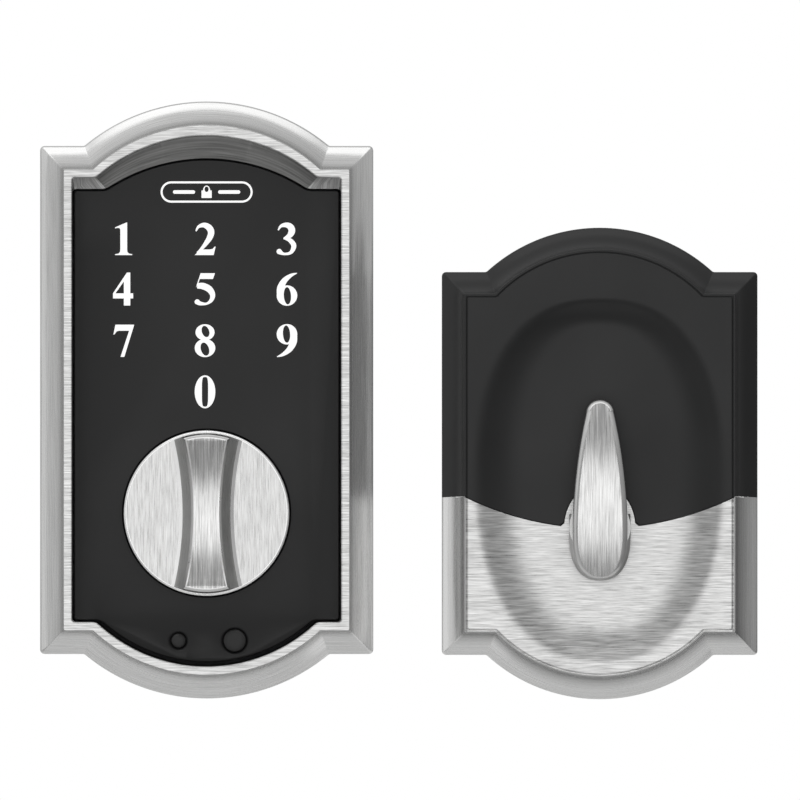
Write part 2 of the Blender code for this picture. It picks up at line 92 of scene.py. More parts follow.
OUT_HALF_WIDTH = OUT_HIGH.x
OUT_BACK_Y = OUT_HIGH.y
RIM_Y = OUT_LOW.y
PANEL_Y = PANEL_LOW.y
KNOB_RADIUS = KNOB_HIGH.x
KNOB_TOP_Y = KNOB_LOW.y
IN_X = TURN_X
IN_Z = (IN_LOW.z + COVER_HIGH.z) / 2
FIELD_Y = COVER_LOW.y
IN_BACK_Y = COVER_HIGH.y
LEVER_TOP_Y = LEVER_LOW.y
LEVER_BACK_Y = LEVER_HIGH.y

# ---------------------------------------------------------------- proportions, in millimetres

# An outline is (half width, (shoulder, arc radius, arc centre) above, the same below).
OUT_EDGE = (57.42, 43.17, 24.30)
RIM_WIDTH = 7.30
COVE_WIDTH = 5.42
RIM_TOP = (50.18, 37.73, 21.90)
HOOD_FOOT = (47.72, 41.02, 13.61)
HOOD_FOOT_Y = PANEL_Y - 0.15
IN_HALF_WIDTH = 35.63
IN_EDGE = (43.22, 37.73, 15.50)
IN_COVE_WIDTH = 5.1
DISH_Z = -3.7
DISH_HALF = (29.4, 41.3)
DISH_POWER = 2.4
DISH_LOW = (42.5, 2.3)        # the dish's reach and power below its middle
DISH_DEPTH = 2.1
DISH_FLOOR = (0.57, 0.79)     # the floor's share of the dish, across and up
DISH_FLOOR_RISE = 2.0
SADDLE = 2.5
PARTING_EDGE_Z = -7.93
PARTING_RADIUS = 69.0
PARTING_CENTRE_Z = 54.4
BOSS_HALF = (8.0, 9.6)
PARTING_GAP = 0.22
CONTACT_X = 6.35
CONTACT_Z = -54.39
CONTACTS = (                  # name, x, radius of the pad, radius of its opening
    ("small", -CONTACT_X, 1.66, 2.4),
    ("large", CONTACT_X, 2.57, 3.25),
)
DIGIT_COLUMNS = (-18.75, -0.36, 18.16)
DIGIT_ROWS = (36.4, 25.05, 13.4, 1.85)
MARK_Z = 47.0
PRINT_HEIGHT = 0.04


# ---------------------------------------------------------------- node materials

def principled(name, colour, roughness, metallic=0.0, specular=0.5):
    """A new Principled material: (material, node tree, shader)."""
    made = bpy.data.materials.new(name)
    made.use_nodes = True
    tree = made.node_tree
    shader = tree.nodes["Principled BSDF"]
    shader.inputs["Base Color"].default_value = (*colour, 1.0)
    shader.inputs["Roughness"].default_value = roughness
    shader.inputs["Metallic"].default_value = metallic
    shader.inputs["Specular IOR Level"].default_value = specular
    return made, tree, shader


def add(tree, kind, **settings):
    node = tree.nodes.new(kind)
    for key, value in settings.items():
        setattr(node, key, value)
    return node


def stretched_noise(tree, source, scale, detail=2.0, roughness=0.55):
    """Noise over scaled coordinates, so that it runs out into streaks or grain."""
    coordinates = add(tree, "ShaderNodeTexCoord")
    mapping = add(tree, "ShaderNodeMapping")
    mapping.inputs["Scale"].default_value = scale
    noise = add(tree, "ShaderNodeTexNoise")
    noise.inputs["Scale"].default_value = 1.0
    noise.inputs["Detail"].default_value = detail
    noise.inputs["Roughness"].default_value = roughness
    tree.links.new(coordinates.outputs[source], mapping.inputs["Vector"])
    tree.links.new(mapping.outputs["Vector"], noise.inputs["Vector"])
    return noise.outputs["Fac"]


def remap(tree, value, low, high, start=0.3, end=0.7):
    node = add(tree, "ShaderNodeMapRange")
    node.inputs["From Min"].default_value = start
    node.inputs["From Max"].default_value = end
    node.inputs["To Min"].default_value = low
    node.inputs["To Max"].default_value = high
    tree.links.new(value, node.inputs["Value"])
    return node.outputs["Result"]


def tint(tree, value, dark, light, start=0.3, end=0.7):
    ramp = add(tree, "ShaderNodeValToRGB")
    ramp.color_ramp.elements[0].position = start
    ramp.color_ramp.elements[0].color = (*dark, 1.0)
    ramp.color_ramp.elements[1].position = end
    ramp.color_ramp.elements[1].color = (*light, 1.0)
    tree.links.new(value, ramp.inputs["Fac"])
    return ramp.outputs["Color"]


def relief(tree, shader, height, strength, distance):
    bump = add(tree, "ShaderNodeBump")
    bump.inputs["Strength"].default_value = strength
    bump.inputs["Distance"].default_value = distance
    tree.links.new(height, bump.inputs["Height"])
    tree.links.new(bump.outputs["Normal"], shader.inputs["Normal"])


def brushed(name, scale, source="Object", base=(0.665, 0.665, 0.66), spread=0.42, roughness=0.3, bump=0.3,
            hollow=None, detail=3.0, drift=0.065):
    """Brushed satin metal. Scale is the streaks' count per metre along each coordinate.

    Hollow is a pair of depths in millimetres between which painted shade darkens the metal towards the front, and
    the share of its brightness that is left there.
    """
    made, tree, shader = principled(name, base, roughness, 1.0)
    streaks = stretched_noise(tree, source, scale, detail, 0.6)
    dark = [channel * (1 - spread) for channel in base]
    light = [min(1.0, channel * (1 + spread)) for channel in base]
    colour = tint(tree, streaks, dark, light)
    if hollow:
        colour = painted_hollow_shade(tree, colour, hollow)
    tree.links.new(colour, shader.inputs["Base Color"])
    tree.links.new(remap(tree, streaks, roughness - drift, roughness + drift), shader.inputs["Roughness"])
    relief(tree, shader, streaks, bump, 0.00002)
    return made


def painted_hollow_shade(tree, colour, hollow):
    """The colour with painted shade up in a moulding's hollow: full at its outer edge, darker towards the front.
    """
    coordinates = add(tree, "ShaderNodeTexCoord")
    axes = add(tree, "ShaderNodeSeparateXYZ")
    tree.links.new(coordinates.outputs["Object"], axes.inputs["Vector"])
    start, end, left = hollow
    share = remap(tree, axes.outputs["Y"], 0.0, 1.0, start * MM, end * MM)
    painted_shade_mix = add(tree, "ShaderNodeMix", data_type="RGBA", blend_type="MULTIPLY")
    painted_shade_mix.inputs["B"].default_value = (left, left, left, 1.0)
    tree.links.new(share, painted_shade_mix.inputs["Factor"])
    tree.links.new(colour, painted_shade_mix.inputs["A"])
    return painted_shade_mix.outputs["Result"]


def moulded(name, colour, roughness, grain=2500.0, bump=0.15, spread=0.12, specular=0.5):
    """Moulded plastic or rubber with a fine grain and a faint drift in tone."""
    made, tree, shader = principled(name, colour, roughness, specular=specular)
    fine = stretched_noise(tree, "Object", (grain, grain, grain), 2.0)
    broad = stretched_noise(tree, "Object", (40.0, 40.0, 40.0), 2.0)
    dark = [channel * (1 - spread) for channel in colour]
    light = [channel * (1 + spread) for channel in colour]
    tree.links.new(tint(tree, broad, dark, light), shader.inputs["Base Color"])
    tree.links.new(remap(tree, broad, roughness - 0.04, roughness + 0.05), shader.inputs["Roughness"])
    relief(tree, shader, fine, bump, 0.00002)
    return made


def circuit_board():
    """Green solder mask over copper tracks, which show as slightly lighter lines."""
    made, tree, shader = principled("circuit_board_mask", (0.02, 0.13, 0.05), 0.35)
    coordinates = add(tree, "ShaderNodeTexCoord")
    mapping = add(tree, "ShaderNodeMapping")
    mapping.inputs["Rotation"].default_value = (math.pi / 2, 0.0, 0.0)
    tracks = add(tree, "ShaderNodeTexBrick")
    tracks.inputs["Scale"].default_value = 260.0
    tracks.inputs["Mortar Size"].default_value = 0.03
    tracks.inputs["Color1"].default_value = (0.015, 0.11, 0.045, 1.0)
    tracks.inputs["Color2"].default_value = (0.02, 0.14, 0.055, 1.0)
    tracks.inputs["Mortar"].default_value = (0.05, 0.22, 0.09, 1.0)
    tree.links.new(coordinates.outputs["Object"], mapping.inputs["Vector"])
    tree.links.new(mapping.outputs["Vector"], tracks.inputs["Vector"])
    tree.links.new(tracks.outputs["Color"], shader.inputs["Base Color"])
    relief(tree, shader, tracks.outputs["Fac"], 0.2, 0.00002)
    return made


ALONG = 180.0                 # streaks per metre in their own direction
ACROSS = 3900.0               # and across it
BRIGHT = (0.69, 0.69, 0.685)
NICKEL_ACROSS_X = brushed("nickel_brushed_sideways", (ALONG, ALONG, ACROSS), base=(0.64, 0.64, 0.635),
                          spread=0.4, bump=0.12, drift=0.03)
NICKEL_UPRIGHT = brushed("nickel_brushed_upright", (ACROSS, ALONG, ALONG), spread=0.38, bump=0.2)
NICKEL_GRIP = brushed("nickel_brushed_grip", (ACROSS, ALONG, ALONG * 0.7), base=BRIGHT, spread=0.34,
                      roughness=0.25, bump=0.1, drift=0.02)
NICKEL_BEVEL = brushed("nickel_bevel", (ALONG, ALONG, ALONG), base=(0.6, 0.6, 0.595), spread=0.05, bump=0.05)
# The finger bar's walls are nickel made darker than its faces: painted shade.
NICKEL_WALL_PAINTED_SHADE = brushed("nickel_bar_wall_painted_shade", (ALONG, ACROSS, ALONG), base=(0.4, 0.4, 0.395), spread=0.1, bump=0.1)
# A near-white nickel for thin bright lines along edges: a painted highlight.
NICKEL_PAINTED_HIGHLIGHT = brushed("nickel_edge_painted_highlight", (ALONG, ALONG, ALONG), base=(0.95, 0.95, 0.945), spread=0.04,
                      bump=0.05)
RUN = (70.0, 4200.0, 1.0)
# Both mouldings carry painted shade, darker up in the hollow.
NICKEL_OUT_MOULDING = brushed("nickel_outside_moulding", RUN, "UV", spread=0.14, roughness=0.27, bump=0.06,
                              hollow=(-17.5, -20.8, 0.62))
NICKEL_IN_MOULDING = brushed("nickel_inside_moulding", RUN, "UV", base=BRIGHT, spread=0.12, roughness=0.27,
                             bump=0.06, hollow=(-25.0, -28.6, 0.46))
# The hood over the panel's arc is nickel made far darker than the rest: painted shade.
NICKEL_HOOD_PAINTED_SHADE = brushed("nickel_hood_arc_painted_shade", (50.0, ACROSS, 1.0), "UV", base=(0.225, 0.225, 0.221),
                      roughness=0.33)
NICKEL_SHOULDER = brushed("nickel_hood_shoulder", (ACROSS, ALONG, 1.0), "UV", roughness=0.42)
PANEL_BLACK = moulded("panel_black", (0.012, 0.012, 0.0122), 0.42, 3000.0, 0.04, 0.05, 0.42)
COVER_BLACK = moulded("cover_black", (0.013, 0.0132, 0.0134), 0.36, 2600.0, 0.12, 0.12, 0.4)
PRINT_WHITE = moulded("print_white", (0.92, 0.92, 0.92), 0.5, 4000.0, 0.05, 0.01)
# The print gets a faint glow of its own: painted light that keeps it bright white.
print_painted_glow = PRINT_WHITE.node_tree.nodes["Principled BSDF"]
print_painted_glow.inputs["Emission Color"].default_value = (1.0, 1.0, 1.0, 1.0)
print_painted_glow.inputs["Emission Strength"].default_value = 0.45
FINISHES = {
    "black_plastic": moulded("contact_black", (0.016, 0.016, 0.016), 0.45),
    "grey_plastic": moulded("chassis_grey", (0.10, 0.10, 0.11), 0.5, 1800.0, 0.3),
    "clear_plastic": moulded("guide_milky", (0.62, 0.63, 0.63), 0.3, 2000.0, 0.1),
    "black_rubber": moulded("gasket_rubber", (0.018, 0.018, 0.018), 0.75, 1500.0, 0.5),
    "steel": brushed("steel_plated", (900.0, 900.0, 900.0), base=(0.53, 0.54, 0.56), spread=0.1,
                     roughness=0.34),
    "brass": brushed("brass_turned", (1500.0, 4000.0, 1500.0), base=(0.70, 0.50, 0.22), spread=0.1),
    "circuit_board": circuit_board(),
    "battery_wrap": moulded("battery_wrap_dark", (0.05, 0.06, 0.09), 0.32, 1200.0, 0.05),
}


# ---------------------------------------------------------------- mesh helpers

def linked(name, data):
    """A new object in the scene, made of the data."""
    made = bpy.data.objects.new(name, data)
    bpy.context.scene.collection.objects.link(made)
    return made


def finish_mesh(name, mesh, body, angle=32.0):
    """A smooth-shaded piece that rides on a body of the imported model."""
    mesh.shade_smooth()
    mesh.set_sharp_from_angle(angle=math.radians(angle))
    piece = linked(name, mesh)
    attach(piece, body)
    return piece


def lofted_mesh(name, loops, materials, bands=(), ring=False, strips=False):
    """A mesh through loops of equal length, in millimetres, closed by caps or into a ring.

    Bands gives each stretch between loops its material's number. U runs along the outline and V
    across the loops, both in metres.
    """
    size = len(loops[0])
    count = len(loops)
    mesh = bpy.data.meshes.new(name)
    shape = bmesh.new()
    rows = [[shape.verts.new(Vector(point) * MM) for point in loop] for loop in loops]
    uv = shape.loops.layers.uv.new("run")
    runs = [0.0]
    for k in range(size):
        runs.append(runs[-1] + (Vector(loops[0][(k + 1) % size]) - Vector(loops[0][k])).length * MM)
    heights = [0.0]
    for k in range(count):
        heights.append(heights[-1] + (Vector(loops[(k + 1) % count][0]) - Vector(loops[k][0])).length * MM)
    for row in range(count if ring else count - 1):
        after = (row + 1) % count
        for k in range(size):
            ahead = (k + 1) % size
            face = shape.faces.new((rows[row][k], rows[row][ahead], rows[after][ahead], rows[after][k]))
            face.material_index = bands[row] if row < len(bands) else 0
            corners = ((runs[k], heights[row]), (runs[k + 1], heights[row]),
                       (runs[k + 1], heights[row + 1]), (runs[k], heights[row + 1]))
            for loop, place in zip(face.loops, corners):
                loop[uv].uv = place
    if not ring:
        for row in (0, count - 1):
            index = bands[min(row, len(bands) - 1)] if bands else 0
            if strips:
                cap_with_strips(shape, rows[row], index)
            else:
                shape.faces.new(rows[row]).material_index = index
    bmesh.ops.recalc_face_normals(shape, faces=shape.faces)
    shape.to_mesh(mesh)
    shape.free()
    for material in materials:
        mesh.materials.append(material)
    return mesh


def cap_with_strips(shape, row, index):
    """Faces across a mirrored loop that starts on its line of symmetry."""
    size = len(row)
    half = size // 2
    faces = [shape.faces.new((row[0], row[1], row[size - 1]))]
    for k in range(1, half - 1):
        faces.append(shape.faces.new((row[k], row[k + 1], row[size - k - 1], row[size - k])))
    faces.append(shape.faces.new((row[half - 1], row[half], row[half + 1])))
    for face in faces:
        face.material_index = index


def at_depth(outline, y):
    return [(x, y, z) for x, z in outline]


def moved(outline, x, z):
    return [(px + x, pz + z) for px, pz in outline]


def circle(x, z, radius, count=96):
    turns = [2 * math.pi * k / count for k in range(count)]
    return [(x + radius * math.cos(a), z + radius * math.sin(a)) for a in turns]


def mirrored(half):
    """A closed outline from its right half, whose first and last points lie on the line of symmetry."""
    return half + [(-x, z) for x, z in reversed(half[1:-1])]


def prism(outline, front, back):
    return [at_depth(outline, front), at_depth(outline, back)]


def solid(name, loops):
    """A tool for cutting or joining."""
    return linked(name, lofted_mesh(name, loops, []))


def boolean(mesh, tool, operation):
    """The mesh after a Boolean with the tool, which is used up."""
    target = linked("boolean_target", mesh)
    step = target.modifiers.new("Boolean", "BOOLEAN")
    step.operation = operation
    step.object = tool
    graph = bpy.context.evaluated_depsgraph_get()
    result = bpy.data.meshes.new_from_object(target.evaluated_get(graph))
    result.name = mesh.name
    bpy.data.objects.remove(target)
    bpy.data.objects.remove(tool)
    return result


def turned_mesh(name, profile, x, z, materials, bands=(), ring=False, count=96):
    loops = [at_depth(circle(x, z, radius, count), y) for radius, y in profile]
    return lofted_mesh(name, loops, materials, bands, ring)


def rounding(centre, radius, start, end, steps):
    """Points (inset or radius, y) of a round edge, from one angle to another, in degrees."""
    points = []
    for k in range(steps + 1):
        a = math.radians(start + (end - start) * k / steps)
        points.append((centre[0] + radius * math.cos(a), centre[1] + radius * math.sin(a)))
    return points


# ---------------------------------------------------------------- camelback outlines

def corner(point, before, after, radius, steps=4):
    """A round corner at point between two directions."""
    turn = before.angle(after)
    if radius < 0.02 or turn < 0.02:
        return [tuple(point)] * (steps + 1)
    reach = radius * math.tan(turn / 2)
    start = point - before * reach
    side = Vector((-before.y, before.x))
    if side.dot(after) < 0:
        side = -side
    centre = start + side * radius
    arm = start - centre
    sense = 1.0 if before.x * after.y - before.y * after.x > 0 else -1.0
    points = []
    for k in range(steps + 1):
        a = sense * turn * k / steps
        points.append((centre.x + arm.x * math.cos(a) - arm.y * math.sin(a),
                       centre.y + arm.x * math.sin(a) + arm.y * math.cos(a)))
    return points


def quarter(half_width, edge, outer, inner, arc_steps, side_steps):
    """The upper right quarter of a camelback, from the middle of the side to the top of the arc."""
    shoulder, radius, centre = edge
    join = math.asin((shoulder - centre) / radius)
    meet = Vector((radius * math.cos(join), shoulder))
    up, left = Vector((0.0, 1.0)), Vector((-1.0, 0.0))
    tangent = Vector((-math.sin(join), math.cos(join)))
    points = [(half_width, (shoulder - outer) * k / side_steps) for k in range(side_steps)]
    points += corner(Vector((half_width, shoulder)), up, left, outer)
    points += corner(meet, left, tangent, inner)
    reach = inner * math.tan(left.angle(tangent) / 2) / radius
    for k in range(1, arc_steps + 1):
        a = join + reach + (math.pi / 2 - join - reach) * k / arc_steps
        points.append((radius * math.cos(a), centre + radius * math.sin(a)))
    return points


def camelback(half_width, top, bottom, outer, inner, arc_steps=22, side_steps=10):
    """A closed outline, anticlockwise, with straight sides, flat shoulders and an arc at both ends."""
    upper = quarter(half_width, top, outer, inner, arc_steps, side_steps)
    lower = quarter(half_width, bottom, outer, inner, arc_steps, side_steps)
    left_top = [(-x, z) for x, z in reversed(upper[1:-1])]
    left_bottom = [(-x, -z) for x, z in lower]
    right_bottom = [(x, -z) for x, z in reversed(lower[1:-1])]
    return upper + left_top + left_bottom + right_bottom


def inset_edge(edge, inset):
    return (edge[0] - inset, edge[1] - inset, edge[2])


def outside_outline(inset, outer=0.5, inner=0.5):
    edge = inset_edge(OUT_EDGE, inset)
    return camelback(OUT_HALF_WIDTH - inset, edge, edge, outer, inner)


def opening_outline(top, outer, inner, spread=0.0, sink=0.0):
    """The panel opening, or with spread and sink something that fits inside it."""
    upper = (top[0] - spread, top[1] - spread, top[2])
    lower = inset_edge(OUT_EDGE, RIM_WIDTH + spread)
    lower = (lower[0], lower[1] - sink, lower[2])
    return camelback(OUT_HALF_WIDTH - RIM_WIDTH - spread, upper, lower, outer, inner)


def inside_outline(inset, outer=0.5, inner=0.5):
    edge = inset_edge(IN_EDGE, inset)
    return moved(camelback(IN_HALF_WIDTH - inset, edge, edge, outer, inner), IN_X, IN_Z)


def moulding(width, top_y, outer_radius=0.7, inner_radius=0.25, lean=(24.0, 80.0), steps=10):
    """(inset, y) stations of a hollow moulding: a round outer edge, the hollow, and the edge of its flat."""
    low, high = (math.radians(a) for a in lean)
    edge_in = outer_radius * (1 - math.sin(low))
    top_in = inner_radius * math.sin(high)
    run = width - edge_in - top_in
    radius = run / (math.sin(high) - math.sin(low))
    rise = radius * (math.cos(low) - math.cos(high))
    foot_y = top_y + inner_radius * (1 - math.cos(high)) + rise
    edge_centre = (outer_radius, foot_y + outer_radius * math.cos(low))
    stations = rounding(edge_centre, outer_radius, 180.0, 270.0 - lean[0], 5)
    for k in range(1, steps + 1):
        a = low + (high - low) * k / steps
        stations.append((edge_in + radius * (math.sin(a) - math.sin(low)),
                         foot_y - radius * (math.cos(low) - math.cos(a))))
    top_centre = (width, top_y + inner_radius)
    stations += rounding(top_centre, inner_radius, 270.0 - lean[1], 270.0, 4)[1:]
    return stations


# ---------------------------------------------------------------- outside assembly

def outside_escutcheon():
    """The nickel frame: moulding, flat rim and the sloping hood above the panel."""
    wall = 2.2
    stations = moulding(COVE_WIDTH, RIM_Y)
    loops = [at_depth(outside_outline(0.0, 1.0, 1.0), OUT_BACK_Y)]
    bands = [0]
    for inset, y in stations:
        ease = max(0.35, 1.0 - inset)
        loops.append(at_depth(outside_outline(inset, ease, ease), y))
        bands.append(0)
    loops.append(at_depth(outside_outline(COVE_WIDTH + 0.15, 0.5, 0.5), RIM_Y))
    bands[-1] = 1
    bands.append(1)
    for spread, drop in ((0.4, 0.0), (0.25, 0.0), (0.1, 0.07), (0.0, 0.25)):
        loops.append(at_depth(opening_outline(RIM_TOP, 0.7, 2.0, -spread), RIM_Y + drop))
        bands.append(1)
    bands[-1] = 2
    loops.append(at_depth(opening_outline(HOOD_FOOT, 0.9, 3.4), HOOD_FOOT_Y))
    bands.append(2)
    loops.append(at_depth(opening_outline(HOOD_FOOT, 0.9, 3.4), PANEL_Y + 3.0))
    bands.append(0)
    loops.append(at_depth(outside_outline(5.5), PANEL_Y + 3.0))
    loops.append(at_depth(outside_outline(wall), PANEL_Y + 5.5))
    loops.append(at_depth(outside_outline(wall), OUT_BACK_Y))
    bands += [0, 0, 0]
    materials = [NICKEL_OUT_MOULDING, NICKEL_ACROSS_X, NICKEL_HOOD_PAINTED_SHADE, NICKEL_SHOULDER]
    mesh = lofted_mesh("escutcheon_frame", loops, materials, bands, ring=True)
    mitre = 23.9
    for face in mesh.polygons:
        if face.material_index == 2 and abs(face.center.x) > mitre * MM:
            face.material_index = 3
    piece = finish_mesh("escutcheon_frame", mesh, "root")
    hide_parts("outside_escutcheon")


def touch_panel():
    """The black keypad face, with round openings for the knob and the two battery contacts."""
    gap = 0.45
    sink = 1.0 - gap
    edge = 0.35
    loops = []
    for spread, drop in ((gap + edge, 0.0), (gap + 0.1, 0.1), (gap, edge)):
        loops.append(at_depth(opening_outline(HOOD_FOOT, 0.6, 3.0, spread, sink), PANEL_Y + drop))
    loops.append(at_depth(opening_outline(HOOD_FOOT, 0.6, 3.0, gap, sink), PANEL_HIGH.y - 0.2))
    mesh = lofted_mesh("keypad_face", loops, [PANEL_BLACK])
    round_knob = circle(0.0, KNOB_Z, KNOB_RADIUS + 0.4, 144)
    opening = solid("opening", prism(round_knob, PANEL_Y - 2, PANEL_HIGH.y + 2))
    mesh = boolean(mesh, opening, "DIFFERENCE")
    for _, x, radius, hole in CONTACTS:
        throat = radius + 0.12
        profile = [(hole + 0.15, PANEL_Y - 1), (hole + 0.15, PANEL_Y - 0.001), (hole - 0.25, PANEL_Y + 0.2)]
        profile += [(throat, PANEL_Y + 0.45), (throat, PANEL_Y + 2.7), (hole, PANEL_Y + 2.8)]
        profile += [(hole, PANEL_HIGH.y + 2)]
        groove = linked("groove", turned_mesh("groove", profile, x, CONTACT_Z, [], count=64))
        mesh = boolean(mesh, groove, "DIFFERENCE")
    piece = finish_mesh("keypad_face", mesh, "root")
    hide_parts("touch_panel")


def contact_pads():
    """Two round contacts with softly domed faces, each in its own ring groove."""
    for name, x, radius, _ in CONTACTS:
        low, high = box_mm("contact_pad_" + name)
        profile = [(0.02, low.y), (radius * 0.6, low.y + 0.05), (radius - 0.35, low.y + 0.14)]
        profile += [(radius - 0.1, low.y + 0.3), (radius, low.y + 0.6), (radius, low.y + 3.3)]
        profile += [(high.x - x, low.y + 3.8), (high.x - x, high.y)]
        finishes = [FINISHES["black_plastic"]]
        mesh = turned_mesh("battery_contact_" + name, profile, x, CONTACT_Z, finishes, count=64)
        piece = finish_mesh("battery_contact_" + name, mesh, "contact_pad_" + name, 50.0)
        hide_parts("contact_pad_" + name)


# ---------------------------------------------------------------- knob

def hourglass(middle, end, radius, side_steps=28, end_steps=8):
    """The finger bar's outline about the knob axis: narrow in the middle, with ends on a circle."""
    reach = math.sqrt(radius ** 2 - end ** 2)
    lean = math.asin(end / radius)
    low_end = []
    for k in range(end_steps):
        a = lean * k / end_steps
        low_end.append((radius * math.sin(a), -radius * math.cos(a)))
    heights = [reach * (2 * k / side_steps - 1) for k in range(side_steps + 1)]
    side = [(middle + (end - middle) * (z / reach) ** 2, z) for z in heights]
    high_end = [(x, -z) for x, z in reversed(low_end)]
    return mirrored(low_end + side + high_end)


def outside_knob():
    """The round knob with flat brushed faces and an hourglass finger bar, hollow behind."""
    pad_y = KNOB_TOP_Y + 8.2
    ceiling = pad_y + 2.5
    profile = [(0.02, ceiling), (16.0, ceiling), (16.0, KNOB_HIGH.y), (KNOB_RADIUS, KNOB_HIGH.y)]
    edge_row = len(profile)
    # The knob's round outer edge takes finish 1, a near-white painted highlight.
    profile += rounding((KNOB_RADIUS - 0.45, pad_y + 0.45), 0.45, 0.0, -90.0, 5)
    bands = [0] * edge_row + [1] * (len(profile) - edge_row) + [0]
    profile += [(KNOB_RADIUS - 0.6, pad_y), (0.02, pad_y)]
    finishes = [NICKEL_UPRIGHT, NICKEL_PAINTED_HIGHLIGHT, NICKEL_GRIP, NICKEL_WALL_PAINTED_SHADE, NICKEL_BEVEL]
    disc = turned_mesh("knob", profile, 0.0, KNOB_Z, finishes, bands, count=144)
    # Finish 1 paints highlights along the bar's foot and top edge, and finish 3 paints shade on its walls.
    stations = (              # half width in the middle and at the ends, end radius, depth, dip, finish
        (6.2, 8.1, 18.25, pad_y + 0.6, 0.0, 0),
        (6.15, 8.05, 18.2, pad_y - 0.02, 0.0, 1),
        (5.4, 7.3, 18.15, pad_y - 0.41, 0.0, 3),
        (5.25, 7.15, 18.1, pad_y - 0.8, 0.0, 3),
        (4.5, 6.4, 18.0, pad_y - 3.5, 0.3, 3),
        (3.65, 5.5, 17.95, KNOB_TOP_Y + 1.4, 1.0, 3),
        (3.45, 5.3, 17.85, KNOB_TOP_Y + 0.65, 1.0, 4),
        (3.3, 5.15, 17.7, KNOB_TOP_Y + 0.4, 1.0, 4),
        (3.0, 4.85, 17.35, KNOB_TOP_Y + 0.16, 1.0, 4),
        (2.9, 4.75, 17.25, KNOB_TOP_Y + 0.04, 1.0, 1),
        (2.55, 4.4, 17.0, KNOB_TOP_Y, 1.0, 2),
        (2.45, 4.3, 16.9, KNOB_TOP_Y, 1.0, 2),
    )
    loops = []
    for middle, end, radius, y, share, _ in stations:
        loops.append([(x, y + share * SADDLE * (1 - (z / radius) ** 2), z + KNOB_Z)
                      for x, z in hourglass(middle, end, radius)])
    bands = [station[-1] for station in stations]
    mesh = lofted_mesh("bar", loops, finishes, bands, strips=True)
    mesh = boolean(disc, linked("bar", mesh), "UNION")
    piece = finish_mesh("knob_with_finger_bar", mesh, "outside_knob", 24.0)
    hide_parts("outside_knob")


# ---------------------------------------------------------------- inside assembly

def dish_loop(outline, share, spread, y):
    """An oval of the dish, share of the way to its floor, with one point towards each outline point."""
    across = DISH_HALF[0] * (1.0 - (1.0 - DISH_FLOOR[0]) * share) + spread
    floor = DISH_HALF[1] * DISH_FLOOR[1]
    centre = IN_Z + DISH_Z
    points = []
    for x, z in outline:
        a = math.atan2((z - centre) / DISH_HALF[1], (x - IN_X) / DISH_HALF[0])
        edge, power = DISH_LOW if z < centre else (DISH_HALF[1], DISH_POWER)
        up = edge + (floor - edge) * share + spread
        reach = (abs(math.cos(a)) ** power + abs(math.sin(a)) ** power) ** (-1 / power)
        points.append((IN_X + across * reach * math.cos(a), y,
                       centre + DISH_FLOOR_RISE * share + up * reach * math.sin(a)))
    return points


def dish(outline, front, steps, spread=0.0):
    """Loops down into the dish: a quick turn at its edge, then ever flatter to its floor."""
    loops = []
    turn = 0.28
    for k in range(steps + 1):
        share = k / steps
        if share < turn:
            fall = share ** 2 / turn
        else:
            rest = (share - turn) / (1.0 - turn)
            fall = turn + (1.0 - turn) * (2 * rest - rest ** 2)
        loops.append(dish_loop(outline, share, spread, front + DISH_DEPTH * fall))
    return loops


def inside_casing(name, materials):
    """The whole inside casing, before the parting line divides it."""
    wall = 1.8
    field = inside_outline(5.95)
    inner = [at_depth(inside_outline(wall), IN_BACK_Y), at_depth(inside_outline(wall), -20.5),
             at_depth(inside_outline(4.2), -22.0), at_depth(inside_outline(5.9), FIELD_Y + wall)]
    inner += dish(inside_outline(5.9), FIELD_Y + wall, 8, 0.05)
    outer = [at_depth(inside_outline(0.0, 0.9, 0.9), IN_BACK_Y)]
    bead_y = FIELD_Y + 0.12
    for inset, y in moulding(IN_COVE_WIDTH, bead_y):
        ease = max(0.35, 0.9 - inset)
        outer.append(at_depth(inside_outline(inset, ease, ease), y))
    smooth_rows = len(outer)
    for inset, y in ((5.35, bead_y), (5.5, bead_y + 0.13), (5.65, bead_y + 0.16), (5.8, FIELD_Y + 0.05),
                     (5.9, FIELD_Y), (5.95, FIELD_Y)):
        outer.append(at_depth(inside_outline(inset), y))
    outer.append(dish_loop(field, 0.0, 0.1, FIELD_Y))
    outer += dish(field, FIELD_Y, 24)
    loops = list(reversed(inner)) + outer
    bands = [0] * (len(inner) + smooth_rows) + [1] * (len(outer) - smooth_rows)
    return lofted_mesh(name, loops, materials, bands)


def parting_line(shift):
    """The line between the cover and the lower shell, left to right, moved up by shift."""
    edge = IN_HALF_WIDTH + 3.0
    field = IN_HALF_WIDTH - IN_COVE_WIDTH
    centre = IN_Z + PARTING_CENTRE_Z + shift
    mouth = BOSS_HALF[0] + PARTING_GAP / 2 + shift
    crown = BOSS_HALF[1] + PARTING_GAP / 2 + shift
    lip = 0.8
    right = []
    for k in range(25):
        x = mouth + lip + (field - mouth - lip) * k / 24
        right.append((IN_X + x, centre - math.sqrt(PARTING_RADIUS ** 2 - x ** 2)))
    right.append((IN_X + edge, IN_Z + PARTING_EDGE_Z + shift))
    start = math.asin((right[0][1] + lip * 0.9 - TURN_Z) / crown)
    arch = []
    for k in range(33):
        a = math.pi - start - (math.pi - 2 * start) * k / 32
        arch.append((IN_X + mouth * math.cos(a), TURN_Z + crown * math.sin(a)))
    left = [(2 * IN_X - x, z) for x, z in reversed(right)]
    return left + arch + right


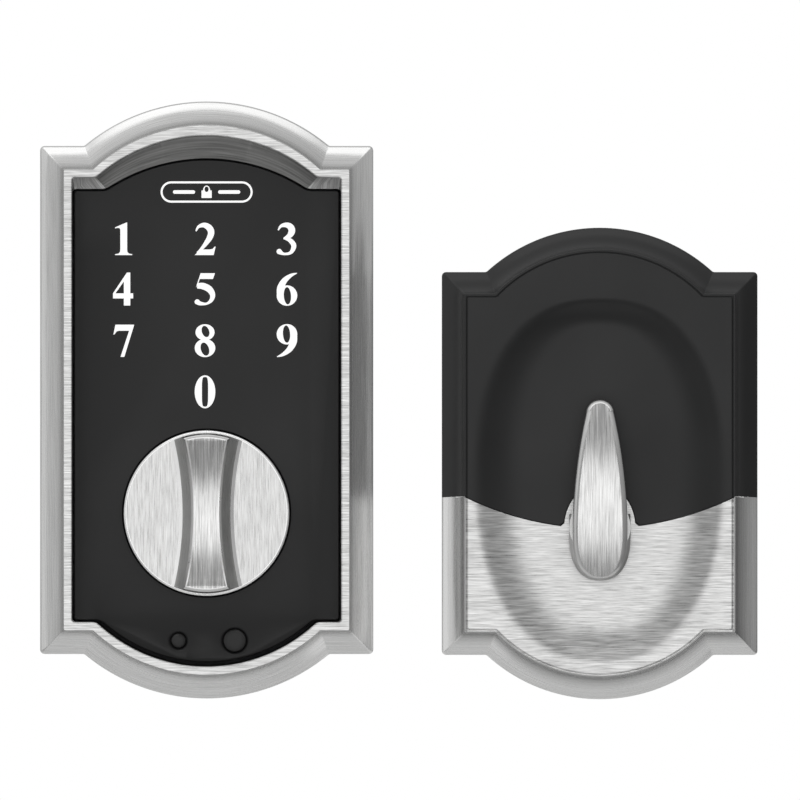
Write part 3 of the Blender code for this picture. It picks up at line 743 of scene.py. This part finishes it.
def inside_shells():
    """The nickel lower shell and the black cover, divided at the parting line."""
    edge = IN_HALF_WIDTH + 3.0
    reach = IN_EDGE[0] + 20.0
    below = parting_line(-PARTING_GAP / 2) + [(IN_X + edge, IN_Z - reach), (IN_X - edge, IN_Z - reach)]
    above = parting_line(PARTING_GAP / 2) + [(IN_X + edge, IN_Z + reach), (IN_X - edge, IN_Z + reach)]
    lap_y = FIELD_Y + 4.0      # behind this depth the lower shell reaches right up to the cover
    lap = parting_line(PARTING_GAP / 2 - 0.02) + below[-2:]
    steps = [at_depth(below, FIELD_Y - 5), at_depth(below, lap_y), at_depth(lap, lap_y), at_depth(lap, 5.0)]
    lower = inside_casing("lower_casing", [NICKEL_IN_MOULDING, NICKEL_ACROSS_X])
    lower = boolean(lower, solid("below", steps), "INTERSECT")
    bore = solid("bore", prism(circle(IN_X, TURN_Z, 5.1, 64), FIELD_Y - 2, -15.0))
    lower = boolean(lower, bore, "DIFFERENCE")
    piece = finish_mesh("lower_casing", lower, "root")
    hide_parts("inside_escutcheon")
    upper = inside_casing("upper_casing", [COVER_BLACK, COVER_BLACK])
    upper = boolean(upper, solid("above", prism(above, FIELD_Y - 5, 5.0)), "INTERSECT")
    piece = finish_mesh("upper_casing", upper, "battery_cover")
    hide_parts("battery_cover")


def lever_outline(inset):
    """The lever's outline about its axis: a slow taper to a round tip, with a blunt rounded tail."""
    tip = LEVER_HIGH.z - TURN_Z
    tail = LEVER_LOW.z - TURN_Z
    tip_radius = 3.2 - 0.7 * inset
    tip_centre = tip - 3.2
    half = 6.17 - inset
    tail_centre = -1.5
    power = 2 / 2.4
    right = []
    for k in range(16):
        a = math.pi / 2 * k / 16
        depth = (tail_centre - tail - 0.45 * inset) * math.cos(a) ** power
        right.append((half * math.sin(a) ** power, tail_centre - depth))
    for k in range(24):
        z = tail_centre + (tip_centre + 0.5 - tail_centre) * k / 23
        right.append((half - 0.00405 * (z - tail_centre) ** 2, z))
    lean = math.radians(9)
    for k in range(1, 14):
        a = lean + (math.pi / 2 - lean) * k / 14
        right.append((tip_radius * math.cos(a), tip_centre + tip_radius * math.sin(a)))
    right.append((0.0, tip_centre + tip_radius))
    return mirrored(right)


def thumb_turn():
    """The lever, with a bevelled edge round its long brushed face, and the neck and skirt under it."""
    finishes = [NICKEL_BEVEL, NICKEL_PAINTED_HIGHLIGHT, NICKEL_GRIP]
    back = LEVER_TOP_Y + 13.2
    stations = (              # inset, depth, crown, finish
        (1.0, back, 0.0, 0),
        (0.3, back - 0.5, 0.0, 0),
        (0.0, back - 1.2, 0.0, 0),
        (0.0, LEVER_TOP_Y + 5.0, 0.3, 0),
        (0.0, LEVER_TOP_Y + 1.15, 1.0, 0),
        (0.02, LEVER_TOP_Y + 0.86, 1.0, 0),
        (0.08, LEVER_TOP_Y + 0.65, 1.0, 0),
        (0.19, LEVER_TOP_Y + 0.48, 1.0, 0),
        (0.33, LEVER_TOP_Y + 0.345, 1.0, 0),
        (0.5, LEVER_TOP_Y + 0.225, 1.0, 0),
        (0.7, LEVER_TOP_Y + 0.13, 1.0, 0),
        (0.93, LEVER_TOP_Y + 0.055, 1.0, 0),
        (1.15, LEVER_TOP_Y, 1.0, 2),
        (1.22, LEVER_TOP_Y, 1.0, 2),
        (1.6, LEVER_TOP_Y, 1.0, 2),
    )
    loops = []
    for inset, y, share, _ in stations:
        loops.append([(x + TURN_X, y + share * lever_crown(z), z + TURN_Z) for x, z in lever_outline(inset)])
    bands = [station[-1] for station in stations]
    mesh = lofted_mesh("lever", loops, finishes, bands, strips=True)
    neck = solid("neck", prism(circle(TURN_X, TURN_Z, 6.9), LEVER_TOP_Y + 11.0, LEVER_BACK_Y))
    mesh = boolean(mesh, neck, "UNION")
    mesh = boolean(mesh, lever_skirt(finishes), "UNION")
    piece = finish_mesh("thumb_lever", mesh, "thumb_turn", 24.0)
    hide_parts("thumb_turn")


def lever_crown(z):
    """How far the lever's face falls back at height z over its axis."""
    return 4.0 * ((z - 4.0) / 25.0) ** 2


def lever_skirt(finishes):
    """The low flange round the lower half of the lever."""
    top = 3.0
    loops = []
    for spread, y in ((-0.2, 12.7), (0.6, 12.6), (0.78, 12.35), (0.72, 12.0), (0.3, 11.4), (-0.2, 10.9)):
        outline = [(x + TURN_X, min(z, top) + TURN_Z) for x, z in lever_outline(-spread)]
        loops.append(at_depth(outline, LEVER_TOP_Y + y))
    return linked("skirt", lofted_mesh("skirt", loops, finishes))


# ---------------------------------------------------------------- printed digits and mark

def smooth(points, closed, steps=8):
    """A Catmull-Rom curve through the points. Each point may carry a width as its third number."""
    count = len(points)
    found = []
    for k in range(count if closed else count - 1):
        if closed:
            four = [points[(k + shift) % count] for shift in (-1, 0, 1, 2)]
        else:
            four = [points[min(max(k + shift, 0), count - 1)] for shift in (-1, 0, 1, 2)]
        for step in range(steps):
            t = step / steps
            weights = (-t + 2 * t ** 2 - t ** 3, 2 - 5 * t ** 2 + 3 * t ** 3,
                       t + 4 * t ** 2 - 3 * t ** 3, -t ** 2 + t ** 3)
            found.append(tuple(sum(w * p[axis] for w, p in zip(weights, four)) / 2
                               for axis in range(len(points[0]))))
    if not closed:
        found.append(tuple(points[-1]))
    return found


def stroke(points):
    """The outline of a pen stroke through (x, z, width) points."""
    line = smooth(points, False)
    right, left = [], []
    for k, (x, z, width) in enumerate(line):
        ahead = line[min(k + 1, len(line) - 1)]
        behind = line[max(k - 1, 0)]
        along = Vector((ahead[0] - behind[0], ahead[1] - behind[1])).normalized()
        right.append((x + along.y * width / 2, z - along.x * width / 2))
        left.append((x - along.y * width / 2, z + along.x * width / 2))
    return right + left[::-1]


def oval(x, z, across, up, lean=0.0, power=2.0, count=56):
    points = []
    for k in range(count):
        a = 2 * math.pi * k / count
        px = across * math.copysign(abs(math.cos(a)) ** (2 / power), math.cos(a))
        pz = up * math.copysign(abs(math.sin(a)) ** (2 / power), math.sin(a))
        points.append((x + px - lean * pz, z + pz))
    return points


ONE = [(-1.95, -3.65), (1.95, -3.65), (1.95, -3.45), (1.2, -3.32), (0.85, -2.95), (0.8, -2.4), (0.8, 3.72),
       (0.66, 3.72), (-1.95, 2.6), (-1.95, 2.38), (-1.3, 2.5), (-0.9, 2.42), (-0.75, 2.05), (-0.75, -2.5),
       (-0.82, -2.95), (-1.15, -3.32), (-1.95, -3.45)]
TWO_HEAD = [(-2.05, 1.75, 0.3), (-1.45, 2.75, 0.62), (-0.2, 3.12, 1.1), (0.9, 2.55, 1.42), (1.38, 1.55, 1.45),
            (1.05, 0.3, 1.3), (0.1, -1.15, 0.95), (-0.9, -2.35, 0.62), (-1.75, -3.2, 0.5)]
TWO_FOOT = [(-2.35, -3.65), (1.95, -3.65), (2.4, -1.75), (2.15, -1.75), (1.75, -2.25), (1.15, -2.38),
            (-0.9, -2.38)]
THREE_HEAD = [(-2.0, 1.95, 0.25), (-1.35, 2.9, 0.65), (-0.2, 3.15, 1.1), (0.75, 2.75, 1.42), (1.1, 1.8, 1.5),
              (0.55, 0.75, 1.15), (-0.75, 0.1, 0.3)]
THREE_BOWL = [(-0.8, 0.1, 0.25), (0.5, -0.2, 0.9), (1.42, -1.15, 1.15), (1.45, -2.1, 1.05),
              (0.75, -3.15, 0.7), (-0.6, -3.4, 0.55), (-1.5, -3.05, 0.95), (-2.05, -2.85, 0.75)]
FOUR = [(0.75, 3.75), (1.5, 3.75), (1.5, -0.95), (2.15, -0.95), (2.15, -2.1), (1.5, -2.1), (1.5, -3.7),
        (0.05, -3.7), (0.05, -2.1), (-2.4, -2.1), (-2.4, -0.95)]
FOUR_HOLE = [(0.05, -0.95), (0.05, 1.75), (-1.85, -0.95)]
FIVE_HEAD = [(-1.0, 3.6), (2.25, 3.6), (1.8, 2.3), (-1.2, 2.3), (-1.42, 1.55), (-2.1, 0.25)]
FIVE_BOWL = [(-1.78, 0.72, 1.15), (-0.5, 0.7, 1.45), (0.95, 0.0, 1.45), (1.7, -1.25, 1.2), (1.4, -2.5, 0.85),
             (0.3, -3.3, 0.5), (-1.2, -3.2, 0.9), (-2.0, -2.85, 0.85)]
SIX_STEM = [(2.25, 3.62, 0.16), (0.9, 3.1, 0.75), (-0.55, 1.95, 1.25), (-1.42, 0.35, 1.55),
            (-1.55, -1.1, 1.5)]
SEVEN = [(-1.85, 3.62), (2.35, 3.62), (2.35, 3.45), (0.15, -3.65), (-0.7, -3.65), (1.25, 2.25), (-1.1, 2.25),
         (-1.65, 2.05), (-2.1, 1.4), (-2.3, 1.4)]


def turned_over(outlines):
    return [[(-x, -z) + tuple(rest) for x, z, *rest in outline] for outline in outlines]


def glyph(digit):
    """(solid outlines, hole outlines) of a bold serif digit about its own centre."""
    if digit == "6":
        bowl, hole = oval(0.0, -1.45, 2.32, 2.3), oval(0.1, -1.5, 0.82, 1.95, 0.05)
        return [stroke(SIX_STEM), bowl], [hole]
    if digit == "9":
        solids, holes = glyph("6")
        return turned_over(solids), turned_over(holes)
    if digit == "8":
        upper, lower = oval(0.0, 1.9, 2.15, 1.82), oval(0.0, -1.65, 2.32, 2.05)
        holes = [oval(0.12, 2.08, 0.86, 1.28, 0.2), oval(-0.02, -1.9, 0.95, 1.48, 0.2)]
        return [upper, lower], holes
    shapes = {
        "0": ([oval(0.0, 0.0, 2.33, 3.72)], [oval(0.0, 0.0, 0.7, 3.35, power=4.0)]),
        "1": ([ONE], []),
        "2": ([stroke(TWO_HEAD), TWO_FOOT], []),
        "3": ([stroke(THREE_HEAD), stroke(THREE_BOWL), oval(-1.75, -2.85, 0.6, 0.6)], []),
        "4": ([FOUR], [FOUR_HOLE]),
        "5": ([FIVE_HEAD, stroke(FIVE_BOWL), oval(-1.75, -2.88, 0.6, 0.58)], []),
        "7": ([SEVEN], []),
    }
    return shapes[digit]


def printed(name, solids, holes, x, z):
    """A thin raised print on the panel from outlines that are joined and then pierced."""
    front, back = PANEL_Y - PRINT_HEIGHT, PANEL_Y + 0.1
    mesh = lofted_mesh(name, prism(moved(solids[0], x, z), front, back), [PRINT_WHITE])
    for k, outline in enumerate(solids[1:], 1):
        join = solid("join", prism(moved(outline, x, z), front - 0.001 * k, back + 0.01 * k))
        mesh = boolean(mesh, join, "UNION")
    for outline in holes:
        mesh = boolean(mesh, solid("pierce", prism(moved(outline, x, z), front - 1, back + 1)), "DIFFERENCE")
    if not mesh.materials:
        mesh.materials.append(PRINT_WHITE)
    finish_mesh(name, mesh, "root")


def digits():
    for number, digit in enumerate("1234567890"):
        row, column = divmod(number, 3)
        x = DIGIT_COLUMNS[column] if row < 3 else DIGIT_COLUMNS[1]
        solids, holes = glyph(digit)
        printed("digit_" + digit, solids, holes, x, DIGIT_ROWS[row])


def stadium(half_width, half_height, count=16):
    points = []
    for side in (1, -1):
        for k in range(count + 1):
            a = math.pi * (k / count - 0.5)
            points.append((side * (half_width - half_height + half_height * math.cos(a)),
                           side * half_height * math.sin(a)))
    return points


def mark():
    """A plain oblong ring round a small padlock sign."""
    printed("mark_ring", [stadium(10.4, 2.4)], [stadium(9.95, 1.95)], 0.0, MARK_Z)
    shackle = [oval(0.0, 0.35, 0.8, 1.1)]
    body = [(-1.15, -1.35), (1.15, -1.35), (1.15, 0.35), (-1.15, 0.35)]
    printed("mark_padlock", [body] + shackle, [oval(0.0, 0.62, 0.46, 0.62)], 0.0, MARK_Z)
    for name, side in (("mark_bar_left", -1), ("mark_bar_right", 1)):
        bar = stadium(2.5, 0.4)
        printed(name, [bar], [], side * 5.1, MARK_Z)


# ---------------------------------------------------------------- carried-over pieces, stage and lights

def dress_cad_nodes():
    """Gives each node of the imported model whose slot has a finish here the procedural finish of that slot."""
    slots = {part["node"]: part["material_slot"] for part in frame["record"]["subparts"]}
    for name, node in frame["nodes"].items():
        if slots[name] not in FINISHES:
            continue
        node.data.materials.clear()
        node.data.materials.append(FINISHES[slots[name]])


def area_light(name, place, size, radiance, aim=(0.044, 0.0, 0.0)):
    """A soft oblong light of a given brightness, whatever its size."""
    data = bpy.data.lights.new(name, "AREA")
    data.shape = "RECTANGLE"
    data.size, data.size_y = size
    data.energy = radiance * 4 * size[0] * size[1]
    light = linked(name, data)
    light.location = place
    light.rotation_euler = (Vector(aim) - Vector(place)).to_track_quat("-Z", "Y").to_euler()
    light.visible_camera = False


def stage():
    """A pale floor below the lock, soft lights and a white surround."""
    shape = bmesh.new()
    bmesh.ops.create_circle(shape, cap_ends=True, segments=96, radius=0.28)
    mesh = bpy.data.meshes.new("floor")
    shape.to_mesh(mesh)
    shape.free()
    floor = linked("floor", mesh)
    floor.location = (cad_box[0].x + 0.08, 0.05, -0.19)
    pale, tree, shader = principled("floor_pale", (0.93, 0.93, 0.93), 0.8)
    speckle = stretched_noise(tree, "Object", (30.0, 30.0, 30.0))
    tree.links.new(tint(tree, speckle, (0.91, 0.91, 0.91), (0.95, 0.95, 0.95)), shader.inputs["Base Color"])
    mesh.materials.append(pale)
    area_light("front", (0.044, -3.2, 0.1), (1.75, 1.75), radiance=0.75)
    area_light("top_front", (0.0, -1.6, 2.3), (3.4, 1.5), radiance=0.7)
    area_light("left_front", (-2.6, -2.0, 0.1), (1.0, 2.4), radiance=0.25)
    between = (OUT_HALF_WIDTH + IN_LOW.x) / 2 * MM
    card = (0.03, 0.15)
    area_light("card_left", (between, -0.016, -0.014), card, 0.15, (0.0, -0.016, -0.014))
    area_light("card_right", (between, -0.016, -0.014), card, 0.12, (0.2, -0.016, -0.014))
    surround()


def surround():
    """White behind the lock, and a soft room round it that is bright overhead and dim to the right.

    The room is dark in a ring round the front light, which draws the hollows and the rounded ends.
    """
    world = bpy.data.worlds.new("surround")
    bpy.context.scene.world = world
    world.use_nodes = True
    tree = world.node_tree
    coordinates = add(tree, "ShaderNodeTexCoord")
    lean = add(tree, "ShaderNodeVectorMath", operation="DOT_PRODUCT")
    lean.inputs[1].default_value = (-0.16, -0.06, 0.3)
    level = add(tree, "ShaderNodeMath", operation="ADD")
    level.inputs[1].default_value = 0.45
    forwards = add(tree, "ShaderNodeVectorMath", operation="DOT_PRODUCT")
    forwards.inputs[1].default_value = (0.0, -1.0, 0.0)
    tree.links.new(coordinates.outputs["Generated"], forwards.inputs[0])
    ring = remap(tree, forwards.outputs["Value"], 0.0, 1.0, 0.72, 0.80)
    room = add(tree, "ShaderNodeMix", data_type="FLOAT")
    room.inputs["B"].default_value = 0.34
    path = add(tree, "ShaderNodeLightPath")
    seen = add(tree, "ShaderNodeBackground")
    seen.inputs["Color"].default_value = (1.0, 1.0, 1.0, 1.0)
    mix = add(tree, "ShaderNodeMixShader")
    around = tree.nodes["Background"]
    around.inputs["Color"].default_value = (1.0, 1.0, 1.0, 1.0)
    tree.links.new(coordinates.outputs["Generated"], lean.inputs[0])
    tree.links.new(lean.outputs["Value"], level.inputs[0])
    tree.links.new(ring, room.inputs["Factor"])
    tree.links.new(level.outputs["Value"], room.inputs["A"])
    tree.links.new(room.outputs["Result"], around.inputs["Strength"])
    tree.links.new(path.outputs["Is Camera Ray"], mix.inputs["Fac"])
    tree.links.new(around.outputs["Background"], mix.inputs[1])
    tree.links.new(seen.outputs["Background"], mix.inputs[2])
    tree.links.new(mix.outputs["Shader"], tree.nodes["World Output"].inputs["Surface"])


def camera():
    """A long lens square on to the fronts, framed on both assemblies."""
    data = bpy.data.cameras.new("camera")
    data.lens = 1600.0
    data.sensor_width = 36.0
    width = 0.1807
    distance = width / 2 / (data.sensor_width / 2 / data.lens)
    data.clip_end = 100.0
    seat = linked("camera", data)
    seat.location = (0.0437, RIM_Y * MM - distance, 0.0)
    seat.rotation_euler = (math.pi / 2, 0.0, 0.0)
    bpy.context.scene.camera = seat
    bpy.context.scene.view_settings.view_transform = "Standard"


camera()
dress_cad_nodes()
outside_escutcheon()
touch_panel()
contact_pads()
outside_knob()
inside_shells()
thumb_turn()
digits()
mark()
stage()
